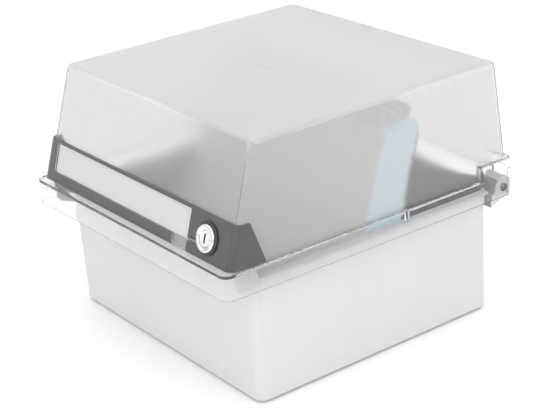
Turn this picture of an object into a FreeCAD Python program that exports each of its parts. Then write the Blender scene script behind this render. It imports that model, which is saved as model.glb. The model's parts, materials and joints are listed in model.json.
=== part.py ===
import FreeCAD, Part
import math
import os
import Sketcher

# Lidded card index box: a moulded tray, a translucent hinged lid with a clear skirt,
# a label holder and cam lock on the lid's front, and a sliding, tilting support plate
# that carries a fan of guide cards.
# Frame: +Z up, -Y is the front (label side), X runs along the front.
# Origin: on the ground, under the centre of the box's outline. Millimetres.

Vector = FreeCAD.Vector
Rotation = FreeCAD.Rotation
Placement = FreeCAD.Placement

doc = FreeCAD.newDocument("card_index_box")
sheet = doc.addObject("Spreadsheet::Sheet", "dims")

DIMENSIONS = [
    # overall
    ("box_width", 250.0, "width over the lid's skirt"),
    ("box_depth", 261.6, "depth over the lid's skirt"),
    ("lid_top", 193.4, "height of the closed lid's top"),
    ("bite", 1.5, "how far an added feature reaches into the wall that it grows from"),
    ("overrun", 2.0, "how far a cutting outline runs past the edge that it opens"),
    # tray
    ("foot_height", 1.5, "height of the four feet"),
    ("foot_radius", 5.0, "radius of a foot"),
    ("foot_x", 104.0, "foot centre from the middle, along X"),
    ("foot_front", -92.0, "Y of the front feet"),
    ("foot_rear", 99.0, "Y of the rear feet"),
    ("base_half", 116.8, "half width of the tray at its base"),
    ("base_front", -104.0, "Y of the tray's front at its base"),
    ("base_rear", 111.2, "Y of the tray's rear at its base"),
    ("rim_half", 117.7, "half width of the tray at its rim"),
    ("rim_front", -106.0, "Y of the tray's front at its rim"),
    ("rim_rear", 111.6, "Y of the tray's rear at its rim"),
    ("rim_top", 105.7, "height of the front and rear rim"),
    ("side_top", 97.5, "height of the low side rims"),
    ("tray_corner", 8.0, "radius of the tray's upright corners"),
    ("base_round", 2.0, "radius along the tray's lower edges"),
    ("tray_wall", 2.3, "thickness of the tray's walls and floor"),
    ("scoop_front", -99.6, "Y where a side rim drops from the front corner"),
    ("scoop_slant", 3.6, "how far that drop slants forward"),
    ("flange_front", -120.0, "Y of the front flange's edge"),
    ("flange_thick", 2.6, "thickness of the front flange"),
    ("flange_half", 119.6, "half width of the front flange"),
    ("cheek_front", -118.0, "Y of the front edge of the cheeks under the flange"),
    ("cheek_bottom", 89.0, "height of the lower edge of the cheeks"),
    ("cheek_rear", -97.0, "Y of the cheeks' lower rear corner"),
    ("cheek_cut", 4.0, "cut across the cheeks' lower front corner"),
    ("flange_corner", 4.0, "radius of the flange's corners"),
    ("bead_half", 121.0, "half width over the beads on the side rims"),
    ("bead_thick", 2.2, "thickness of the side beads"),
    ("bead_rear", 107.6, "Y of the rear end of the side beads"),
    ("scoop_rear", 108.9, "Y where the low side rim ends at the rear wall"),
    # hinge
    ("hinge_y", 121.9, "Y of the lid's axis"),
    ("hinge_z", 97.1, "height of the lid's axis"),
    ("lug_radius", 8.4, "radius of the hinge lugs"),
    ("lug_half", 122.0, "X of a lug's outer face"),
    ("lug_width", 18.0, "width of a lug"),
    ("lug_bottom", 89.4, "height of a lug's lower edge"),
    ("lug_drop", 6.0, "how far a lug's underside falls towards the wall"),
    ("lug_cut", 4.0, "cut across a lug's lower rear corner"),
    ("stud_radius", 3.0, "radius of the lid's hinge studs"),
    ("stud_clear", 0.08, "running clearance round a hinge stud"),
    ("stud_length", 10.0, "length of a hinge stud inside its lug"),
    ("stud_end_gap", 0.6, "gap beyond a stud's inner end"),
    # lid
    ("ledge_top", 108.5, "height of the lid's ledge"),
    ("ledge_under", 106.0, "height of the ledge's underside"),
    ("ledge_round", 1.2, "radius along the ledge's outer edge"),
    ("skirt_bottom", 90.1, "height of the skirt's lower edge"),
    ("skirt_corner", 7.0, "radius of the skirt's corners"),
    ("lid_wall", 2.0, "thickness of the lid's walls"),
    ("hood_half_low", 121.1, "half width of the hood at the ledge's underside"),
    ("hood_half_high", 118.6, "half width of the hood at its top"),
    ("hood_front_low", -123.0, "Y of the hood's front at the ledge's underside"),
    ("hood_front_high", -96.3, "Y of the hood's front at its top"),
    ("hood_rear_low", 129.2, "Y of the hood's rear at the ledge's underside"),
    ("hood_rear_high", 120.6, "Y of the hood's rear at its top"),
    ("hood_corner", 5.0, "radius of the hood's upright corners"),
    ("hood_round", 4.0, "radius along the hood's top edges"),
    ("ear_top", 120.0, "height of the raised corners over the lugs"),
    ("ear_front", 97.0, "Y where a raised corner starts"),
    ("ear_side", 119.5, "X of a raised corner's inner side, inside the hood's wall"),
    ("ear_back", 127.2, "Y of a raised corner's inner side, inside the hood's wall"),
    ("ear_end", 99.0, "X where a raised corner ends at the rear"),
    ("ear_cut", 1.0, "chamfer along a raised corner's outer top edges"),
    ("notch_in", 102.6, "X where the rear notch for a lug starts"),
    ("notch_out", 122.6, "X where the rear notch for a lug ends"),
    ("notch_top", 110.6, "height of the rear notches"),
    ("notch_depth", 5.0, "depth of the rear notches along Y"),
    ("rib_y", 27.0, "Y of the side locating ribs"),
    ("rib_thick", 2.4, "thickness of a side locating rib"),
    ("rib_bottom", 98.5, "height of a side locating rib's lower edge"),
    ("gate_x", 3.0, "X of the moulding gate mark's centre"),
    ("gate_y", -1.0, "Y of the moulding gate mark's centre"),
    ("gate_length", 18.0, "length of the moulding gate mark on top"),
    ("gate_width", 2.6, "width of the gate mark"),
    ("gate_depth", 0.5, "depth of the gate mark"),
    # label holder; heights "up" run along the sloping front from face_height
    ("face_height", 122.0, "height of the front face's reference point"),
    ("holder_low", 108.7, "height of the holder's lower edge"),
    ("holder_high", 138.7, "height of the holder's upper edge"),
    ("holder_thick", 2.4, "thickness of the holder"),
    ("fit_gap", 0.1, "gap between pieces that are fastened face to face"),
    ("wing_low", -94.4, "Y of the wings' rear edge, at the holder's foot"),
    ("wing_high", -106.0, "Y of the wings' rear edge, at the holder's top"),
    ("label_left", -108.0, "X of the label window's left end"),
    ("label_right", 71.0, "X of the label window's right end"),
    ("label_low", -7.0, "lower edge of the label window, up the face"),
    ("label_high", 15.4, "upper edge of the label window, up the face"),
    ("label_corner", 1.5, "radius of the label window's corners"),
    ("label_margin", 0.6, "gap round the paper label in its window"),
    ("label_thick", 0.5, "thickness of the paper label"),
    ("window_thick", 1.2, "thickness of the clear window"),
    ("window_rise", 0.6, "air between the label and its window"),
    ("window_gap", 0.15, "gap round the clear window"),
    ("tab_start", 53.0, "X where the window's finger tab starts"),
    ("tab_foot", -13.2, "lower edge of the finger tab, up the face"),
    ("tongue_length", 10.0, "length of the window's end tongue"),
    ("tongue_width", 1.9, "width of the window's end tongue"),
    ("groove_width", 3.9, "width of the groove that the end tongue lies in"),
    ("groove_depth", 1.4, "depth of that groove"),
    ("peg_radius", 1.5, "radius of the pegs behind the holder"),
    ("peg_x", 111.5, "X of the end pegs"),
    ("peg_up", 6.0, "height of the end pegs, up the face"),
    ("low_peg_left", -66.5, "X of the left peg under the label"),
    ("low_peg_right", 36.5, "X of the right peg under the label"),
    ("low_peg_up", -10.4, "height of the pegs under the label, up the face"),
    ("peg_length", 6.4, "length of a peg behind the holder"),
    ("clip_radius", 4.0, "outer radius of a push-on clip"),
    ("clip_thick", 0.8, "thickness of a push-on clip"),
    # lock
    ("lock_x", 93.0, "X of the lock's axis"),
    ("lock_up", 1.0, "height of the lock's axis, up the face"),
    ("barrel_radius", 8.0, "radius of the lock's barrel"),
    ("barrel_length", 11.6, "length of the barrel behind the lid's face"),
    ("lock_cut", 0.8, "chamfer round the lock's head"),
    ("flange_radius", 9.8, "radius of the lock's chrome head"),
    ("head_height", 3.0, "height of the lock's head"),
    ("plug_radius", 5.6, "radius of the turning plug"),
    ("plug_clear", 0.06, "running clearance round the plug"),
    ("plug_tail", 3.4, "length of the plug's tail behind the barrel"),
    ("plug_recess", 0.5, "how far the plug's face sits below the head"),
    ("plug_end", 0.2, "how far the plug's round part stands out behind the barrel"),
    ("plug_cut", 0.4, "chamfer round the plug's face"),
    ("key_width", 1.6, "width of the keyway"),
    ("key_height", 7.0, "height of the keyway"),
    ("key_depth", 9.0, "depth of the keyway"),
    ("key_corner", 0.5, "radius of the keyway's corners"),
    ("ring_radius", 11.8, "outer radius of the dark ring"),
    ("ring_height", 1.4, "height of the dark ring"),
    ("ring_gap", 0.15, "gap between the ring and the lock's head"),
    ("ring_cut", 0.5, "chamfer round the ring"),
    ("nut_flats", 20.0, "width across the lock nut's flats"),
    ("nut_thick", 3.6, "thickness of the lock nut"),
    ("thread_gap", 0.02, "gap where a thread or a press fit would hold"),
    ("cam_hub", 5.5, "radius of the cam's hub"),
    ("cam_reach", 10.5, "reach of the cam's nose from the axis"),
    ("cam_width", 8.0, "width of the cam's nose"),
    ("cam_thick", 2.0, "thickness of the cam"),
    ("cam_gap", 0.5, "gap between the barrel and the cam"),
    ("cam_corner", 2.5, "radius of the nose's corners"),
    ("square_gap", 0.03, "gap round the square"),
    ("cam_square", 6.0, "width of the square that drives the cam"),
    ("cam_screw_head", 3.6, "head radius of the cam's screw"),
    ("cam_screw_radius", 1.6, "shank radius of the cam's screw"),
    ("cam_screw_thick", 1.8, "head thickness of the cam's screw"),
    ("cam_screw_length", 6.0, "shank length of the cam's screw"),
    ("cam_screw_hole", 7.0, "depth of the hole for that screw"),
    ("seat_gap", 0.05, "gap under a screw's head"),
    # striker that the cam turns under
    ("striker_thick", 1.5, "sheet thickness of the striker"),
    ("striker_left", 60.0, "X of the striker foot's left end"),
    ("striker_upright", 78.6, "X of the striker upright's right face"),
    ("striker_tip", 85.6, "X of the striker tab's tip"),
    ("striker_tab", 124.2, "height of the tab's underside"),
    ("striker_front", -105.6, "Y of the tab's front edge"),
    ("striker_rear", -97.0, "Y of the tab's rear edge"),
    ("striker_foot_front", -117.0, "Y of the striker foot's front edge"),
    ("striker_foot_rear", -103.2, "Y of the striker foot's rear edge"),
    ("striker_screw_left", 64.0, "X of the striker's left screw"),
    ("striker_screw_right", 72.0, "X of the striker's right screw"),
    ("striker_screw_y", -112.0, "Y of the striker's screws"),
    ("striker_hole", 1.6, "radius of the striker's screw holes"),
    ("striker_shank", 1.55, "shank radius of the striker's screws"),
    ("striker_head", 2.8, "head radius of the striker's screws"),
    ("striker_head_thick", 1.2, "head thickness of the striker's screws"),
    # support plate and its slider
    ("rail_half", 12.0, "half width of the index rail"),
    ("rail_front", -96.0, "Y of the index rail's front end"),
    ("rail_rear", 104.0, "Y of the index rail's rear end"),
    ("rail_thick", 2.5, "thickness of the index rail"),
    ("rail_corner", 3.0, "radius of the rail's and the slider's corners"),
    ("rail_first", 14.0, "distance from the rail's front end to its first notch"),
    ("rail_notches", 17.0, "number of notches"),
    ("rail_web", 0.7, "material left under a notch"),
    ("rail_screw_in", 7.0, "distance of a rail screw from the rail's end"),
    ("rail_seat", 3.1, "radius of the seat for a rail screw"),
    ("rail_seat_depth", 1.6, "depth of that seat"),
    ("rail_head", 3.0, "radius of a rail screw's head"),
    ("rail_head_thick", 1.3, "thickness of a rail screw's head"),
    ("rail_pitch", 10.0, "pitch of the rail's notches"),
    ("rail_notch", 4.0, "length of a rail notch"),
    ("pivot_y", 21.5, "Y of the support plate's pin"),
    ("pivot_z", 14.2, "height of the support plate's pin"),
    ("pivot_radius", 2.0, "radius of the pin"),
    ("pivot_clear", 0.08, "running clearance round the pin"),
    ("pivot_half", 28.0, "half length of the pin"),
    ("slider_half", 30.0, "half width of the slider"),
    ("slider_front", 15.6, "Y of the slider's front edge"),
    ("slider_rear", 58.0, "Y of the slider's rear edge"),
    ("slider_thick", 2.5, "thickness of the slider's deck"),
    ("slider_lift", 0.3, "running gap under the slider"),
    ("skid_gap", 0.4, "gap between a skid and the rail's side"),
    ("skid_width", 4.0, "width of a skid"),
    ("skid_inset", 3.0, "distance of a skid from the slider's front and rear edges"),
    ("cheek_thick", 4.0, "thickness of a cheek that holds the pin"),
    ("cheek_fore", 4.5, "distance from the pin's axis to a cheek's front edge"),
    ("cheek_aft", 5.0, "distance from the pin's axis to a cheek's rear edge, at its top"),
    ("cheek_above", 4.6, "height of a cheek above the pin's axis"),
    ("cheek_foot", 44.0, "Y of the rear end of a cheek's foot"),
    ("plate_half", 104.0, "half width of the support plate"),
    ("plate_length", 151.0, "length of the support plate above its pin"),
    ("plate_thick", 2.6, "thickness of the support plate"),
    ("plate_lean", 15.2, "lean of the support plate, in degrees"),
    ("plate_corner", 12.0, "radius of the plate's upper corners"),
    ("grip_radius", 16.0, "radius of the finger cut-out in the plate"),
    ("grip_above", 2.0, "how far the cut-out's centre lies above the plate's edge"),
    ("plate_front", 4.7, "distance from the pin's axis to the plate's front face"),
    ("plate_below", 4.0, "how far the plate hangs below its pin's axis"),
    ("rib_depth", 3.0, "depth of the ribs behind the plate"),
    ("rib_width", 3.0, "width of a rib behind the plate"),
    ("rib_in", 40.0, "X of a rib's inner side"),
    ("rib_foot", 12.0, "height of a rib's lower end above the pin's axis"),
    ("rib_head", 127.0, "height of a rib's upper end above the pin's axis"),
    ("barrel_in", 10.0, "X where a barrel round the pin starts"),
    ("barrel_round", 4.3, "outer radius of a barrel round the pin"),
    ("hinge_gap", 0.4, "gap between a barrel and its cheek"),
    ("slot_foot", -6.0, "lower end of the slot for a cheek, from the pin's axis"),
    ("slot_head", 9.0, "upper end of the slot for a cheek, from the pin's axis"),
    # guide cards
    ("card_half", 105.0, "half width of a guide card"),
    ("card_length", 160.5, "height of a guide card below its tab"),
    ("card_thick", 0.8, "thickness of a guide card"),
    ("card_corner", 2.0, "cut across the corners of a tab"),
    ("tab_height", 13.0, "height of a tab"),
    ("tab_width", 38.0, "width of a tab"),
    ("tab_margin", 5.0, "distance of the end tabs from the card's sides"),
    ("card_rows", 4.0, "number of times that the tab places repeat"),
    ("tab_places", 5.0, "number of tab places across a card"),
    ("fan_front_foot", -28.0, "Y of the front card's foot"),
    ("fan_rear_foot", 13.4, "Y of the rear card's foot"),
    ("fan_front_lean", 19.6, "lean of the front card, in degrees"),
    ("fan_rear_lean", 15.4, "lean of the rear card, in degrees"),
    ("card_floor", 7.2, "height at which the cards stand"),
    ("insert_thick", 0.2, "thickness of a tab's paper insert"),
    ("insert_side", 3.0, "distance of an insert from its tab's sides"),
    ("insert_foot", 2.0, "distance of an insert from its tab's foot and top"),
]

for row, (alias, number, note) in enumerate(DIMENSIONS, start=1):
    sheet.set(f"A{row}", note)
    sheet.set(f"B{row}", str(number))
    sheet.setAlias(f"B{row}", alias)
doc.recompute()


def dim(alias):
    """A driving dimension as a plain number."""
    return float(sheet.get(alias))


def value(expression):
    """The number that an expression on the sheet gives now."""
    result = sheet.evalExpression(str(expression))
    return float(getattr(result, "Value", result))


# ---------------------------------------------------------------- sketch helpers

def new_body(label):
    return doc.addObject("PartDesign::Body", label)


def origin_plane(body, role):
    return next(item for item in body.Origin.OriginFeatures if item.Role == role)


def new_sketch(body, name, role="XY_Plane", height=None):
    """A sketch on one of the body's own planes, lifted along its normal by an expression."""
    sketch = body.newObject("Sketcher::SketchObject", name)
    sketch.AttachmentSupport = [(origin_plane(body, role), "")]
    sketch.MapMode = "FlatFace"
    if height is not None:
        sketch.AttachmentOffset = Placement(Vector(0, 0, value(height)), Rotation())
        sketch.setExpression("AttachmentOffset.Base.z", height)
    return sketch


SLOPE = "atan((dims.hood_front_high - dims.hood_front_low) / (dims.lid_top - dims.ledge_under))"
FACE_Y = ("dims.hood_front_low + (dims.face_height - dims.ledge_under)"
          " * (dims.hood_front_high - dims.hood_front_low) / (dims.lid_top - dims.ledge_under)")


def face_sketch(body, name, out="0"):
    """A sketch on the lid's sloping front: x along X, y up the slope, normal outwards."""
    sketch = new_sketch(body, name)
    tilt = 90 - value(SLOPE)
    lift = value(out)
    normal = Vector(0, -math.sin(math.radians(tilt)), math.cos(math.radians(tilt)))
    base = Vector(0, value(FACE_Y), value("dims.face_height")) + normal * lift
    sketch.AttachmentOffset = Placement(base, Rotation(Vector(1, 0, 0), tilt))
    sketch.setExpression("AttachmentOffset.Rotation.Angle", f"90 deg - {SLOPE}")
    sketch.setExpression("AttachmentOffset.Base.y", f"{FACE_Y} - ({out}) * cos({SLOPE})")
    sketch.setExpression("AttachmentOffset.Base.z", f"dims.face_height + ({out}) * sin({SLOPE})")
    return sketch


def fix(sketch, kind, geometry, point, expression):
    """Dimension a point from the sketch's origin along X or Y."""
    place = value(expression)
    index = sketch.addConstraint(Sketcher.Constraint(kind, -1, 1, geometry, point, place))
    sketch.setExpression(f"Constraints[{index}]", str(expression))


def outline(sketch, corners):
    """A closed outline. Each corner is (x, y) or (x, y, radius), all of them expressions.

    A rounded corner joins one level and one upright edge."""
    count = len(corners)
    places = [Vector(value(c[0]), value(c[1]), 0) for c in corners]
    radii = [value(c[2]) if len(c) > 2 else 0.0 for c in corners]
    level = [corners[i][1] == corners[(i + 1) % count][1] for i in range(count)]
    upright = [corners[i][0] == corners[(i + 1) % count][0] for i in range(count)]
    edges = []
    for i in range(count):
        start, end = places[i], places[(i + 1) % count]
        along = (end - start).normalize()
        first = start + along * radii[i]
        last = end - along * radii[(i + 1) % count]
        edges.append(sketch.addGeometry(Part.LineSegment(first, last)))
    first_arc = None
    for i in range(count):
        before, after = edges[i - 1], edges[i]
        if radii[i] == 0:
            sketch.addConstraint(Sketcher.Constraint("Coincident", before, 2, after, 1))
            if not (level[i - 1] or level[i]):
                fix(sketch, "DistanceY", after, 1, corners[i][1])
            if not (upright[i - 1] or upright[i]):
                fix(sketch, "DistanceX", after, 1, corners[i][0])
            continue
        come = (places[i] - places[i - 1]).normalize()
        leave = (places[(i + 1) % count] - places[i]).normalize()
        centre = places[i] + (leave - come) * radii[i]
        middle = centre + (come - leave).normalize() * radii[i]
        bend = Part.Arc(places[i] - come * radii[i], middle, places[i] + leave * radii[i])
        arc = sketch.addGeometry(bend)
        turns_left = come.cross(leave).z > 0
        begin, finish = (1, 2) if turns_left else (2, 1)
        sketch.addConstraint(Sketcher.Constraint("Tangent", before, 2, arc, begin))
        sketch.addConstraint(Sketcher.Constraint("Tangent", arc, finish, after, 1))
        index = sketch.addConstraint(Sketcher.Constraint("Radius", arc, radii[i]))
        sketch.setExpression(f"Constraints[{index}]", str(corners[i][2]))
    for i in range(count):
        if level[i]:
            sketch.addConstraint(Sketcher.Constraint("Horizontal", edges[i]))
            fix(sketch, "DistanceY", edges[i], 1, corners[i][1])
        if upright[i]:
            sketch.addConstraint(Sketcher.Constraint("Vertical", edges[i]))
            fix(sketch, "DistanceX", edges[i], 1, corners[i][0])


def rectangle(sketch, left, right, low, high, radius=None):
    extra = () if radius is None else (radius,)
    outline(sketch, [(left, low) + extra, (right, low) + extra,
                     (right, high) + extra, (left, high) + extra])


def circle(sketch, x, y, radius):
    ring = sketch.addGeometry(Part.Circle(Vector(value(x), value(y), 0), Vector(0, 0, 1), value(radius)))
    fix(sketch, "DistanceX", ring, 3, x)
    fix(sketch, "DistanceY", ring, 3, y)
    index = sketch.addConstraint(Sketcher.Constraint("Radius", ring, value(radius)))
    sketch.setExpression(f"Constraints[{index}]", str(radius))


# --------------------------------------------------------------- feature helpers

def extrude(body, kind, sketch, length, reverse=False, both=False):
    feature = body.newObject(f"PartDesign::{kind}", f"{sketch.Name}_{kind.lower()}")
    feature.Profile = sketch
    feature.setExpression("Length", str(length))
    feature.Reversed = reverse
    feature.Midplane = both
    doc.recompute()
    if kind == "Pocket" and feature.BaseFeature.Shape.Volume - feature.Shape.Volume < 0.01:
        raise RuntimeError(f"{feature.Name} cuts nothing")
    return feature


def pad(body, sketch, length, **options):
    return extrude(body, "Pad", sketch, length, **options)


def pocket(body, sketch, length, **options):
    return extrude(body, "Pocket", sketch, length, **options)


def soften(body, kind, base, wanted, size):
    """Fillet or chamfer the edges of base whose middle point passes the test."""
    names = []
    for number, edge in enumerate(base.Shape.Edges, start=1):
        middle = edge.valueAt((edge.FirstParameter + edge.LastParameter) / 2)
        if wanted(middle, edge):
            names.append(f"Edge{number}")
    if not names:
        raise RuntimeError(f"no edge to soften on {base.Name}")
    feature = body.newObject(f"PartDesign::{kind}", f"{base.Name}_{kind.lower()}")
    feature.Base = (base, names)
    feature.setExpression("Radius" if kind == "Fillet" else "Size", str(size))
    doc.recompute()
    if feature.Shape.isNull() or not feature.Shape.isValid():
        raise RuntimeError(f"{feature.Name} is not valid")
    return feature


def fillet(body, base, wanted, radius):
    return soften(body, "Fillet", base, wanted, radius)


def round_corners(body, shell, radius, wall):
    """Round a shell's upright corners, inside and outside, so that its wall stays even."""
    uprights = [edge for edge in shell.Shape.Edges if is_upright(None, edge)]
    between = max(abs(edge.CenterOfMass.x) for edge in uprights) - value(wall) / 2
    shell = fillet(body, shell, lambda middle, edge: is_upright(middle, edge) and abs(middle.x) < between,
                   f"{radius} - ({wall})")
    return fillet(body, shell, lambda middle, edge: is_upright(middle, edge) and abs(middle.x) > between,
                  radius)


def chamfer(body, base, wanted, size):
    return soften(body, "Chamfer", base, wanted, size)


def drafted_block(body, name, low, high, halves, fronts, rears):
    """A solid block whose four sides lean: each pair gives a measure at its foot and at its top."""
    front_view = new_sketch(body, f"{name}_front_view", "XZ_Plane")
    outline(front_view, [(f"-({halves[0]})", low), (halves[0], low),
                         (halves[1], high), (f"-({halves[1]})", high)])
    pad(body, front_view, "2 * dims.box_depth", both=True)
    side_view = new_sketch(body, f"{name}_side_view", "YZ_Plane")
    outline(side_view, [("-2 * dims.box_depth", low), (fronts[0], low), (fronts[1], high),
                        ("-2 * dims.box_depth", high)])
    outline(side_view, [(rears[0], low), ("2 * dims.box_depth", low), ("2 * dims.box_depth", high),
                        (rears[1], high)])
    return pocket(body, side_view, "2 * dims.box_width", both=True)


def hollow_out(body, base, open_heights, wall):
    """Leave only a wall under the faces of base, open at the level faces of the given heights."""
    names = []
    for number, face in enumerate(base.Shape.Faces, start=1):
        level = face.BoundBox.ZLength < 0.01
        if level and any(abs(face.CenterOfMass.z - height) < 0.01 for height in open_heights):
            names.append(f"Face{number}")
    feature = body.newObject("PartDesign::Thickness", f"{base.Name}_hollow")
    feature.Base = (base, names)
    feature.Mode = "Skin"
    feature.Join = "Intersection"
    feature.Reversed = True
    feature.setExpression("Value", wall)
    doc.recompute()
    if not feature.Shape.isValid() or feature.Shape.Volume > base.Shape.Volume:
        raise RuntimeError(f"{feature.Name} did not hollow the block")
    return feature


def is_upright(middle, edge):
    """True for an edge that runs mostly up and down."""
    return abs(edge.tangentAt(edge.FirstParameter).z) > 0.8


def mirror_sides(body, features):
    """Repeat features on the other side of the middle plane."""
    feature = body.newObject("PartDesign::Mirrored", f"{features[0].Name}_mirror")
    feature.Originals = features
    feature.MirrorPlane = (origin_plane(body, "YZ_Plane"), [""])
    body.Tip = feature
    doc.recompute()
    return feature


def place_on_face(item, x="0", up="0", out="0"):
    """Put an object drawn in the front face's own axes onto the lid's sloping front."""
    item.Placement = Placement(Vector(), Rotation(Vector(1, 0, 0), 90 - value(SLOPE)))
    item.setExpression("Placement.Rotation.Angle", f"90 deg - {SLOPE}")
    item.setExpression("Placement.Base.x", x)
    item.setExpression("Placement.Base.y", f"{FACE_Y} + ({up}) * sin({SLOPE}) - ({out}) * cos({SLOPE})")
    item.setExpression("Placement.Base.z", f"dims.face_height + ({up}) * cos({SLOPE}) + ({out}) * sin({SLOPE})")


def group(label, items):
    compound = doc.addObject("Part::Compound", label)
    compound.Links = items
    return compound


def cylinder(name, radius, height, x="0", y="0", z="0"):
    item = doc.addObject("Part::Cylinder", name)
    item.setExpression("Radius", str(radius))
    item.setExpression("Height", str(height))
    for axis, place in (("x", x), ("y", y), ("z", z)):
        item.setExpression(f"Placement.Base.{axis}", str(place))
    return item


# -------------------------------------------------------------------------- tray

def make_tray_shell():
    """Open moulded box with slight draft, low side rims, front flange and hinge lugs."""
    body = new_body("tray_shell")
    block = drafted_block(body, "tray", "dims.foot_height", "dims.rim_top",
                          ("dims.base_half", "dims.rim_half"), ("dims.base_front", "dims.rim_front"),
                          ("dims.base_rear", "dims.rim_rear"))
    ground = dim("foot_height")
    shell = hollow_out(body, block, [dim("rim_top")], "dims.tray_wall")
    shell = round_corners(body, shell, "dims.tray_corner", "dims.tray_wall")
    fillet(body, shell, lambda middle, edge: abs(middle.z - ground) < 0.01, "dims.base_round")

    lugs = new_sketch(body, "lug_profile", "YZ_Plane", "dims.lug_half - dims.lug_width")
    lug_profile(lugs)
    lug = pad(body, lugs, "dims.lug_width")

    cheeks = new_sketch(body, "cheek_profile", "YZ_Plane", "dims.flange_half - dims.tray_wall")
    outline(cheeks, [("dims.cheek_front", "dims.cheek_bottom + dims.cheek_cut"),
                     ("dims.cheek_front + dims.cheek_cut", "dims.cheek_bottom"),
                     ("dims.cheek_rear", "dims.cheek_bottom"),
                     ("dims.scoop_front", "dims.side_top - dims.bead_thick"),
                     ("dims.scoop_front", "dims.side_top"),
                     ("dims.scoop_front - dims.scoop_slant", "dims.rim_top"),
                     ("dims.cheek_front", "dims.rim_top")])
    cheek = pad(body, cheeks, "dims.tray_wall")

    beads = new_sketch(body, "bead_outline", height="dims.side_top - dims.bead_thick")
    rectangle(beads, "dims.rim_half - dims.bite", "dims.bead_half",
              "dims.scoop_front - dims.bite", "dims.bead_rear")
    bead = pad(body, beads, "dims.bead_thick")
    mirror_sides(body, [lug, cheek, bead])

    flange = new_sketch(body, "flange_outline", height="dims.rim_top - dims.flange_thick")
    outline(flange, [("-dims.flange_half", "dims.flange_front", "dims.flange_corner"),
                     ("dims.flange_half", "dims.flange_front", "dims.flange_corner"),
                     ("dims.flange_half", "dims.rim_front + dims.bite"),
                     ("-dims.flange_half", "dims.rim_front + dims.bite")])
    pad(body, flange, "dims.flange_thick")

    scoop = new_sketch(body, "side_scoop", "YZ_Plane")
    outline(scoop, [("dims.scoop_front", "dims.side_top"),
                    ("dims.scoop_rear", "dims.side_top"),
                    ("dims.scoop_rear", "dims.rim_top + dims.overrun"),
                    ("dims.scoop_front - dims.scoop_slant", "dims.rim_top + dims.overrun")])
    pocket(body, scoop, "2 * dims.box_width", both=True)

    bores = new_sketch(body, "stud_bore", "YZ_Plane", "dims.lug_half - dims.stud_length - dims.stud_end_gap")
    circle(bores, "dims.hinge_y", "dims.hinge_z", "dims.stud_radius + dims.stud_clear")
    bore = pocket(body, bores, "dims.stud_length + dims.overrun", reverse=True)
    mirror_sides(body, [bore])
    return body


def lug_profile(sketch):
    """A lug seen from the side: round over the axis, hollowed in front where it leaves the wall."""
    centre_y, centre_z, radius = dim("hinge_y"), dim("hinge_z"), dim("lug_radius")
    root, bottom = dim("rim_rear") - dim("bite"), dim("lug_bottom")
    drop, cut = dim("lug_drop"), dim("lug_cut")
    front, rear = centre_y - radius, centre_y + radius
    bend = front - root
    knee = math.sqrt(0.5)
    underside = sketch.addGeometry(Part.LineSegment(Vector(root, bottom - drop, 0), Vector(rear - cut, bottom, 0)))
    slant = sketch.addGeometry(Part.LineSegment(Vector(rear - cut, bottom, 0), Vector(rear, bottom + cut, 0)))
    back = sketch.addGeometry(Part.LineSegment(Vector(rear, bottom + cut, 0), Vector(rear, centre_z, 0)))
    crown = sketch.addGeometry(Part.Arc(Vector(rear, centre_z, 0), Vector(centre_y, centre_z + radius, 0),
                                        Vector(front, centre_z, 0)))
    hollow_knee = Vector(root + bend * knee, centre_z - bend * knee, 0)
    hollow = sketch.addGeometry(Part.Arc(Vector(front, centre_z, 0), hollow_knee,
                                         Vector(root, centre_z - bend, 0)))
    heel = sketch.addGeometry(Part.LineSegment(Vector(root, centre_z - bend, 0), Vector(root, bottom - drop, 0)))
    joints = [(underside, 2, slant, 1), (slant, 2, back, 1), (crown, 2, hollow, 2),
              (hollow, 1, heel, 1), (heel, 2, underside, 1)]
    for first, first_end, second, second_end in joints:
        sketch.addConstraint(Sketcher.Constraint("Coincident", first, first_end, second, second_end))
    sketch.addConstraint(Sketcher.Constraint("Tangent", back, 2, crown, 1))
    sketch.addConstraint(Sketcher.Constraint("Vertical", back))
    sketch.addConstraint(Sketcher.Constraint("Vertical", heel))
    fix(sketch, "DistanceX", crown, 3, "dims.hinge_y")
    fix(sketch, "DistanceY", crown, 3, "dims.hinge_z")
    fix(sketch, "DistanceX", back, 2, "dims.hinge_y + dims.lug_radius")
    fix(sketch, "DistanceY", crown, 2, "dims.hinge_z")
    fix(sketch, "DistanceX", hollow, 3, "dims.rim_rear - dims.bite")
    fix(sketch, "DistanceY", hollow, 3, "dims.hinge_z")
    fix(sketch, "DistanceX", heel, 1, "dims.rim_rear - dims.bite")
    fix(sketch, "DistanceY", underside, 1, "dims.lug_bottom - dims.lug_drop")
    fix(sketch, "DistanceX", underside, 2, "dims.hinge_y + dims.lug_radius - dims.lug_cut")
    fix(sketch, "DistanceY", underside, 2, "dims.lug_bottom")
    fix(sketch, "DistanceY", slant, 2, "dims.lug_bottom + dims.lug_cut")


def make_tray_feet():
    feet = []
    for side in ("-", ""):
        for end in ("dims.foot_front", "dims.foot_rear"):
            feet.append(cylinder(f"foot_{len(feet) + 1}", "dims.foot_radius", "dims.foot_height",
                                 f"{side}dims.foot_x", end))
    return group("tray_feet", feet)


# --------------------------------------------------------------------------- lid

# pegs that hold the label holder: (X, height up the face)
PEGS = [("-dims.peg_x", "dims.peg_up"), ("dims.low_peg_left", "dims.low_peg_up"),
        ("dims.low_peg_right", "dims.low_peg_up"), ("dims.peg_x", "dims.peg_up")]


def hood_at(name, height):
    """The hood's measure at a height, as an expression."""
    share = f"(({height}) - dims.ledge_under) / (dims.lid_top - dims.ledge_under)"
    return f"(dims.hood_{name}_low + (dims.hood_{name}_high - dims.hood_{name}_low) * {share})"


def box_outline(sketch, inset):
    rectangle(sketch, f"-dims.box_width / 2 + {inset}", f"dims.box_width / 2 - {inset}",
              f"-dims.box_depth / 2 + {inset}", f"dims.box_depth / 2 - {inset}",
              f"dims.skirt_corner - {inset}")


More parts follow.
